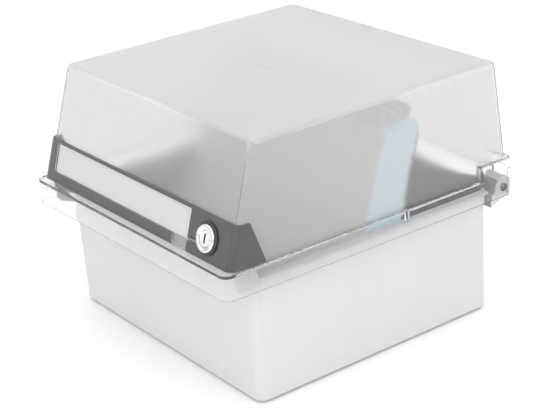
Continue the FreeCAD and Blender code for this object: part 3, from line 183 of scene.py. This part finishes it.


# %% [markdown]
# ## Moulded grey plastic
# The tray is injection moulded with a spark-eroded texture, a fine leathery grain that hides
# scratches. Real geometry that fine would be millions of faces, so the grain is a bump from
# two sizes of noise, and the finer one also varies the gloss. Under this even light the
# tray's inside would come out too bright, so its inner walls and floor get a darker and
# duller grey: painted shade, not a second plastic.

# %% Tray plastic, rail plastic and plate plastic
def moulded_plastic(name, light, dark, roughness, grain, depth):
    material, wire = start_finish(name)
    cloud = mottle(wire, 0.06, 2.0)
    fine = mottle(wire, grain, 4.0)
    coarse = mottle(wire, grain * 4, 2.0)
    texture = fine * 0.7 + coarse * 0.3
    shader = surface(wire, Base_Color=mix_colours(wire, cloud, dark, light),
                     Roughness=roughness - 0.1 + fine * 0.16 + cloud * 0.04,
                     Specular_IOR_Level=0.45, Normal=raised(wire, texture, depth))
    return end_finish(material, wire, shader)


tray_plastic = moulded_plastic("tray_plastic", (0.70, 0.70, 0.695, 1), (0.66, 0.66, 0.66, 1),
                               0.52, 0.0007, 0.00006)
# The inside's darker, duller grey is painted shade, not a second plastic.
tray_inside_painted_shade = moulded_plastic("tray_inside_painted_shade", (0.34, 0.34, 0.345, 1), (0.30, 0.30, 0.305, 1),
                              0.60, 0.0009, 0.00006)
rail_plastic = moulded_plastic("rail_plastic", (0.56, 0.57, 0.58, 1), (0.50, 0.51, 0.52, 1),
                               0.42, 0.0006, 0.00003)
# The plate's grey is set darker than the tray's as painted shade for the dim inside of the closed lid.
plate_plastic_painted_shade = moulded_plastic("plate_plastic_painted_shade", (0.46, 0.46, 0.46, 1), (0.42, 0.42, 0.425, 1),
                                0.40, 0.0006, 0.00003)

# %% [markdown]
# ## Frosted and clear plastic
# The lid is one moulding of clear plastic. The mould's hood walls are sand-blasted, so they
# scatter what is behind them: a card just inside shows clearly, and the far wall is only a
# soft shade. The ledge, the skirt and the hinge corners come from polished steel, so they
# are clear. Both are refracting plastic. The frosted one adds a milky part, and the hood's top
# is milkier and rougher than its walls.

# %% Frosted hood and clear edge
def frosted_plastic(name, roughness, clearness):
    material, wire = start_finish(name)
    cloud = mottle(wire, 0.05, 2.0)
    ripple = mottle(wire, 0.004, 1.0)
    shader = surface(wire, Base_Color=mix_colours(wire, cloud, (0.91, 0.91, 0.91, 1), (0.94, 0.94, 0.94, 1)),
                     Roughness=roughness + ripple * 0.03 + cloud * 0.04, IOR=1.40,
                     Transmission_Weight=clearness, Normal=raised(wire, ripple, 0.00001))
    return end_finish(material, wire, shader)


def clear_plastic(name, roughness, refraction, tint):
    material, wire = start_finish(name)
    cloud = mottle(wire, 0.03, 2.0)
    ripple = mottle(wire, 0.008, 1.0)
    shader = surface(wire, Base_Color=mix_colours(wire, cloud, tint, (0.99, 0.99, 0.99, 1)),
                     Roughness=roughness + cloud * 0.05, IOR=refraction, Transmission_Weight=0.97,
                     Normal=raised(wire, ripple, 0.00003))
    return end_finish(material, wire, shader)


frosted_lid = frosted_plastic("frosted_lid", 0.16, 0.88)
milky_top = frosted_plastic("frosted_lid_top", 0.34, 0.72)
clear_edge = clear_plastic("clear_lid_edge", 0.05, 1.40, (0.98, 0.985, 0.99, 1))
label_glaze = clear_plastic("label_window", 0.05, 1.30, (0.98, 0.985, 0.985, 1))

# %% [markdown]
# ## Dark holder, rubber, paper and card
# The label holder is dark grey plastic with a satin sheen. The feet are black rubber. Paper is
# nearly white, with short fibres. The guide cards are cut from pale blue sheet that lets some
# light through. True scattering through twenty sheets would be slow and noisy, so a faint glow
# in the sheet's own colour stands in for it.

# %% Holder, ring, rubber
def satin_plastic(name, light, dark, roughness, coat):
    material, wire = start_finish(name)
    cloud = mottle(wire, 0.02, 2.0)
    fine = mottle(wire, 0.0005, 4.0)
    shader = surface(wire, Base_Color=mix_colours(wire, cloud, dark, light),
                     Roughness=roughness - 0.08 + fine * 0.14 + cloud * 0.03,
                     Coat_Weight=coat, Coat_Roughness=0.2, Normal=raised(wire, fine, 0.00002))
    return end_finish(material, wire, shader)


holder_plastic = satin_plastic("holder_plastic", (0.085, 0.085, 0.088, 1), (0.065, 0.065, 0.068, 1),
                               0.34, 0.25)
# The ring round the lock head is near black, darker than the holder: painted shade for the shadowed side of
# the head.
ring_painted_shade = satin_plastic("lock_ring_painted_shade", (0.035, 0.035, 0.038, 1), (0.025, 0.025, 0.027, 1),
                             0.36, 0.1)
foot_rubber = satin_plastic("foot_rubber", (0.05, 0.05, 0.052, 1), (0.03, 0.03, 0.032, 1), 0.75, 0.0)

# %% Paper and card
def paper(name, light, dark):
    material, wire = start_finish(name)
    fibres = mottle(wire, 0.0004, 5.0, (1.0, 0.25, 1.0))
    patches = mottle(wire, 0.012, 2.0)
    shader = surface(wire, Base_Color=mix_colours(wire, fibres * 0.5 + patches * 0.5, dark, light),
                     Roughness=0.72 + fibres * 0.16, Normal=raised(wire, fibres, 0.00003))
    return end_finish(material, wire, shader)


def card_sheet(name, light, dark, glow):
    material, wire = start_finish(name)
    cloud = mottle(wire, 0.04, 2.0)
    fine = mottle(wire, 0.0008, 3.0)
    shader = surface(wire, Base_Color=mix_colours(wire, cloud, dark, light), Roughness=0.34 + fine * 0.12,
                     IOR=1.45, Emission_Color=mix_colours(wire, cloud, dark, light),
                     Emission_Strength=glow, Normal=raised(wire, fine, 0.00002))
    return end_finish(material, wire, shader)


label_paper = paper("label_paper", (0.93, 0.93, 0.93, 1), (0.88, 0.88, 0.88, 1))
blue_sheet = card_sheet("blue_card_sheet", (0.86, 0.95, 1.0, 1), (0.80, 0.92, 0.98, 1), 0.12)
white_sheet = card_sheet("white_card_sheet", (0.90, 0.90, 0.90, 1), (0.87, 0.87, 0.87, 1), 0.08)

# %% [markdown]
# ## Metals
# The lock's head is chrome plated: mirror-like, with a few fine polishing marks. The striker,
# the nut, the cam and the screws are zinc plated steel, which is greyer and shows a crystal
# mottle and rolling marks.

# %% Chrome and zinc
def metal(name, light, dark, roughness, marks, stretch):
    material, wire = start_finish(name)
    cloud = mottle(wire, 0.004, 3.0)
    lines = mottle(wire, 0.0006, 4.0, stretch)
    shader = surface(wire, Base_Color=mix_colours(wire, cloud, dark, light), Metallic=1.0,
                     Roughness=roughness + cloud * 0.06 + lines * 0.06, Normal=raised(wire, lines, marks))
    return end_finish(material, wire, shader)


chrome = metal("lock_chrome", (0.86, 0.86, 0.87, 1), (0.78, 0.78, 0.79, 1), 0.06, 0.000004, (1.0, 1.0, 1.0))
zinc = metal("zinc_steel", (0.66, 0.67, 0.68, 1), (0.52, 0.53, 0.55, 1), 0.26, 0.00001, (1.0, 6.0, 6.0))

# %% [markdown]
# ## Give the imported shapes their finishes
# These nodes have the right shape already. Only their material slots change.

# %% Assign finishes
finishes = {"tray": tray_plastic, "feet": foot_rubber, "steel": zinc, "rail": rail_plastic,
            "lid": clear_edge, "holder": holder_plastic, "label": label_paper, "window": label_glaze,
            "lock_chrome": chrome, "lock_ring": ring_painted_shade, "plate": plate_plastic_painted_shade, "card": blue_sheet}
for subpart in frame["record"]["subparts"]:
    slots = frame["nodes"][subpart["node"]].data.materials
    slots.clear()
    slots.append(finishes[subpart["material_slot"]])

# %% [markdown]
# ## Softened mouldings
# A moulding never has a knife edge: its edges carry a radius of a few tenths of a millimetre,
# and that is where the bright lines come from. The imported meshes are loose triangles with
# sharp edges. Each one is copied, its doubled points are merged, its flat triangles are made
# whole faces again, and a Bevel modifier rounds the edges. The shortest edges of the lid and
# the tray would clamp their bevels almost to nothing, so the bevels are left unclamped, and
# their widths stay small.

# %% Copy a moulding and soften its edges
crease = math.radians(32)
nearly_flat = math.radians(0.3)
same_point = 0.000001


def soft_copy(name, node, edge, materials, choose=None):
    """A merged copy of a node, with rounded edges, that stands for it."""
    mesh = bmesh.new()
    mesh.from_mesh(frame["nodes"][node].data)
    bmesh.ops.remove_doubles(mesh, verts=mesh.verts, dist=same_point)
    bmesh.ops.dissolve_limit(mesh, angle_limit=nearly_flat, verts=mesh.verts, edges=mesh.edges)
    for face in mesh.faces:
        face.smooth = True
        face.material_index = choose(face) if choose else 0
    data = bpy.data.meshes.new(name)
    mesh.to_mesh(data)
    mesh.free()
    data.set_sharp_from_angle(angle=crease)
    for material in materials:
        data.materials.append(material)
    piece = bpy.data.objects.new(name, data)
    bpy.context.scene.collection.objects.link(piece)
    bevel = piece.modifiers.new("soft_edges", "BEVEL")
    bevel.width, bevel.segments, bevel.profile = edge, 2, 0.5
    bevel.limit_method, bevel.angle_limit = "ANGLE", crease
    bevel.use_clamp_overlap, bevel.harden_normals = False, True
    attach(piece, frame["nodes"][node]["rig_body"])
    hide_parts(node)
    print(name, len(data.polygons), "faces from", node)


# %% Where the lid is frosted
hood_foot, hood_top = 0.1060, 0.1934
half_at_foot, half_at_top = 0.1211, 0.1186
front_at_foot, front_at_top = -0.1230, -0.0963
rear_at_foot, rear_at_top = 0.1292, 0.1206
ledge_top, top_edge, beyond = 0.1087, 0.1889, 0.0003
stud_side, stud_reach = 0.1235, 0.0035
hinge = Vector(next(joint for joint in frame["joints"] if joint["name"] == "lid_hinge")["pos_m"])


def lid_region(face):
    """0 on the hood's walls, 1 on the clear ledge, skirt and hinge corners, and 2 on the top."""
    point = face.calc_center_median()
    share = (point.z - hood_foot) / (hood_top - hood_foot)
    half = half_at_foot + (half_at_top - half_at_foot) * share
    front = front_at_foot + (front_at_top - front_at_foot) * share
    rear = rear_at_foot + (rear_at_top - rear_at_foot) * share
    hood = abs(point.x) < half + beyond and front - beyond < point.y < rear + beyond
    stud = abs(point.x) < stud_side and math.hypot(point.y - hinge.y, point.z - hinge.z) < stud_reach
    if hood and point.z > top_edge:
        return 2
    return 0 if stud or (hood and point.z > ledge_top) else 1


# %% Where the tray's inside gets its painted shade
tray_base, floor_level, rim_level = 0.003, 0.02, 0.1035


def tray_region(face):
    """1 on the tray's inner walls and floor, which get a darker grey as painted shade, and 0 elsewhere."""
    point = face.calc_center_median()
    inward = face.normal.x * point.x + face.normal.y * point.y < -0.01
    floor_top = face.normal.z > 0.9 and point.z < floor_level
    return 1 if tray_base < point.z < rim_level and (inward or floor_top) else 0


# %% The lid, the tray and the holder
soft_copy("lid_moulding", "lid_cover", 0.0003, [frosted_lid, clear_edge, milky_top], lid_region)
soft_copy("tray_moulding", "tray_shell", 0.0004, [tray_plastic, tray_inside_painted_shade], tray_region)
soft_copy("holder_moulding", "label_holder", 0.0003, [holder_plastic])

# %% [markdown]
# ## Guide cards
# Twenty guide cards lean back in a fan on the support plate. Each is a thin sheet with rounded
# corners and one tab, and the tab places step across the cards and repeat. The outline starts
# as one flat face from a few corner points. Bevelling its corner points rounds them, and an
# extrusion gives the sheet its thickness. The card in front is white.

# %% One card in the fan
CARDS, PLACES = 20, 5
half_card, card_length, sheet, card_corner = 0.105, 0.1605, 0.0008, 0.0022
tab_wide, tab_high, tab_margin = 0.038, 0.013, 0.005
card_floor, front_foot, rear_foot = 0.0072, -0.028, 0.0134
front_lean, rear_lean = 19.6, 15.4


def fan_place(number):
    """Where card number stands: its foot on the floor of the tray, and how far it leans back."""
    share = number / (CARDS - 1)
    lean = math.radians(front_lean + (rear_lean - front_lean) * share)
    foot = front_foot + (rear_foot - front_foot) * share
    return Matrix.Translation((0, foot, card_floor)) @ Matrix.Rotation(-lean, 4, "X")


def tab_left(number):
    """The X of the left side of card number's tab."""
    place = PLACES - 1 - number % PLACES
    return -half_card + tab_margin + place * (2 * half_card - 2 * tab_margin - tab_wide) / (PLACES - 1)


def add_card(mesh, number):
    """One sheet with its tab, rounded at its corners, in its place in the fan."""
    left, top = tab_left(number), card_length + tab_high
    corners = [(-half_card, 0), (half_card, 0), (half_card, card_length), (left + tab_wide, card_length),
               (left + tab_wide, top), (left, top), (left, card_length), (-half_card, card_length)]
    points = [mesh.verts.new((x, sheet / 2, z)) for x, z in corners]
    face = mesh.faces.new(points)
    outer = [points[0], points[1], points[2], points[7], points[4], points[5]]
    rounded = bmesh.ops.bevel(mesh, geom=outer, offset=card_corner, affect="VERTICES", segments=4,
                              profile=0.5, material=-1, offset_type="OFFSET")
    face = next(item for item in rounded["verts"][0].link_faces)
    front = bmesh.ops.extrude_face_region(mesh, geom=[face], use_keep_orig=True)
    moved = [item for item in front["geom"] if isinstance(item, bmesh.types.BMVert)]
    bmesh.ops.translate(mesh, verts=moved, vec=(0, -sheet, 0))
    card = set(moved) | set(face.verts)
    bmesh.ops.transform(mesh, matrix=fan_place(number), verts=list(card))
    return card


def finish_piece(name, mesh, materials, body, nodes):
    """Turn a bmesh into a piece that rides on a body and stands for its nodes."""
    bmesh.ops.recalc_face_normals(mesh, faces=mesh.faces)
    data = bpy.data.meshes.new(name)
    mesh.to_mesh(data)
    mesh.free()
    for material in materials:
        data.materials.append(material)
    data.shade_smooth()
    data.set_sharp_from_angle(angle=crease)
    piece = bpy.data.objects.new(name, data)
    bpy.context.scene.collection.objects.link(piece)
    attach(piece, body)
    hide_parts(*nodes)
    print(name, len(data.polygons), "faces")


# %% Five sets of four cards, one set for each tab place
for place in range(PLACES):
    mesh = bmesh.new()
    for number in range(place, CARDS, PLACES):
        card = add_card(mesh, number)
        if number == 0:
            for face in {face for vert in card for face in vert.link_faces}:
                face.material_index = 1
    name = f"guide_sheets_{place + 1}"
    finish_piece(name, mesh, [blue_sheet, white_sheet], "slider", [f"guide_cards_{place + 1}"])

# %% [markdown]
# ## Tab sleeves
# Each tab wears a moulded sleeve that holds a paper slip for the heading. A sleeve is a small
# block with softened edges. Insetting its front face and pushing it in leaves a frame round
# the slip.

# %% Twenty sleeves
sleeve_thick, sleeve_gap, sleeve_round = 0.0018, 0.0006, 0.0018
frame_wide, frame_slope, slip_depth = 0.0016, 0.0002, 0.0004
mesh = bmesh.new()
for number in range(CARDS):
    earlier = set(mesh.verts)
    block = bmesh.ops.create_cube(mesh, size=1.0)["verts"]
    bmesh.ops.scale(mesh, verts=block, vec=(tab_wide, sleeve_thick, tab_high - sleeve_gap))
    bmesh.ops.translate(mesh, verts=block, vec=(tab_left(number) + tab_wide / 2, 0,
                                                 card_length + tab_high / 2))
    uprights = [edge for edge in {edge for vert in block for edge in vert.link_edges}
                if abs(edge.verts[0].co.y - edge.verts[1].co.y) > sleeve_thick / 2]
    bmesh.ops.bevel(mesh, geom=uprights, offset=sleeve_round, affect="EDGES", segments=4,
                    profile=0.5, material=-1)
    sleeve = [face for face in mesh.faces if face.verts[0] not in earlier]
    slip = min(sleeve, key=lambda face: face.calc_center_median().y)
    bmesh.ops.inset_region(mesh, faces=[slip], thickness=frame_wide, depth=0)
    bmesh.ops.inset_region(mesh, faces=[slip], thickness=frame_slope, depth=-slip_depth)
    slip.material_index = 1
    added = [vert for vert in mesh.verts if vert not in earlier]
    bmesh.ops.transform(mesh, matrix=fan_place(number), verts=added)
finish_piece("tab_sleeves", mesh, [white_sheet, label_paper], "slider", ["tab_inserts"])

# %% [markdown]
# ## Lock head
# The lock's chrome head is turned: a rounded rim, a dished face and a small step down to the
# plug. A half profile is spun about the lock's axis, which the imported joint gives, and its
# first and last rows are merged. The plug and the ring only need softer edges.

# %% Spin the chrome head
lock_joint = next(joint for joint in frame["joints"] if joint["name"] == "lock_turn")
outward = -Vector(lock_joint["axis"])
across = Vector((1, 0, 0))
lock_place = (Matrix.Translation(lock_joint["pos_m"])
              @ Matrix((across, outward.cross(across), outward)).transposed().to_4x4())
profile = [(5.66, -11.6), (7.7, -11.6), (8.0, -11.3), (8.0, 2.5), (9.8, 2.5), (9.8, 4.4), (9.65, 4.95),
           (9.25, 5.35), (8.7, 5.5), (8.1, 5.4), (7.5, 5.05), (7.1, 4.75), (6.7, 4.62), (6.2, 4.6),
           (5.85, 4.55), (5.66, 4.35)]
mesh = bmesh.new()
points = [mesh.verts.new((radius / 1000, 0, height / 1000)) for radius, height in profile]
edges = [mesh.edges.new((points[i], points[(i + 1) % len(points)])) for i in range(len(points))]
bmesh.ops.spin(mesh, geom=points + edges, cent=(0, 0, 0), axis=(0, 0, 1), angle=math.tau, steps=72,
               use_merge=True, use_duplicate=False)
bmesh.ops.remove_doubles(mesh, verts=mesh.verts, dist=0.0000005)
bmesh.ops.transform(mesh, matrix=lock_place, verts=mesh.verts)
finish_piece("lock_head", mesh, [chrome], "lid", ["lock_barrel"])
soft_copy("lock_plug_face", "lock_plug", 0.00015, [chrome])
soft_copy("lock_ring_edge", "lock_ring", 0.00015, [ring_painted_shade])

# %% [markdown]
# ## Floor and light
# The box stands on a plain white table in an even light tent. A large plane is the floor. The
# world is the tent: bright overhead and much dimmer near the horizon, which gives the
# chrome and the polished edges something to reflect. A large soft light at the right makes
# the side of the tray a little brighter than its front, and a weaker one in front lights the
# label.

# %% Floor
floor_mesh = bmesh.new()
bmesh.ops.create_grid(floor_mesh, x_segments=2, y_segments=2, size=8.0)
floor_data = bpy.data.meshes.new("floor")
floor_mesh.to_mesh(floor_data)
floor_mesh.free()
floor = bpy.data.objects.new("floor", floor_data)
bpy.context.scene.collection.objects.link(floor)
floor_finish, wire = start_finish("floor_paper")
grain = mottle(wire, 0.4, 2.0)
floor_data.materials.append(end_finish(floor_finish, wire, surface(
    wire, Base_Color=mix_colours(wire, grain, (0.93, 0.93, 0.93, 1), (0.95, 0.95, 0.95, 1)), Roughness=0.9)))

# %% Light tent
world = bpy.data.worlds.new("light_tent")
bpy.context.scene.world = world
world.use_nodes = True
world.node_tree.nodes.clear()
sky = Wire(world.node_tree)
direction = sky.node("ShaderNodeTexCoord", output="Generated")
height = sky.node("ShaderNodeSeparateXYZ", None, {"Vector": direction}, output="Z")
tent = sky.node("ShaderNodeValToRGB", {"stops": [(0.0, (0.36, 0.36, 0.365, 1)), (0.9, (1.0, 1.0, 1.0, 1))]},
                {"Fac": height})
tent_light = sky.node("ShaderNodeBackground", None, {"Color": tent, "Strength": 1.48})
sky.node("ShaderNodeOutputWorld", None, {"Surface": tent_light})


def soft_light(name, place, aim, size, power):
    light = bpy.data.lights.new(name, "AREA")
    light.shape, light.size, light.energy = "DISK", size, power
    lamp = bpy.data.objects.new(name, light)
    lamp.matrix_world = (Matrix.Translation(place)
                         @ (Vector(aim) - Vector(place)).to_track_quat("-Z", "Y").to_matrix().to_4x4())
    bpy.context.scene.collection.objects.link(lamp)
    print(name, power, "W")


soft_light("side_softbox", (1.6, -0.3, 1.0), (0, 0, 0.1), 1.2, 4.0)
soft_light("front_softbox", (0.5, -1.7, 0.7), (0, 0, 0.1), 1.2, 3.0)
bpy.context.scene.view_settings.view_transform = "Standard"
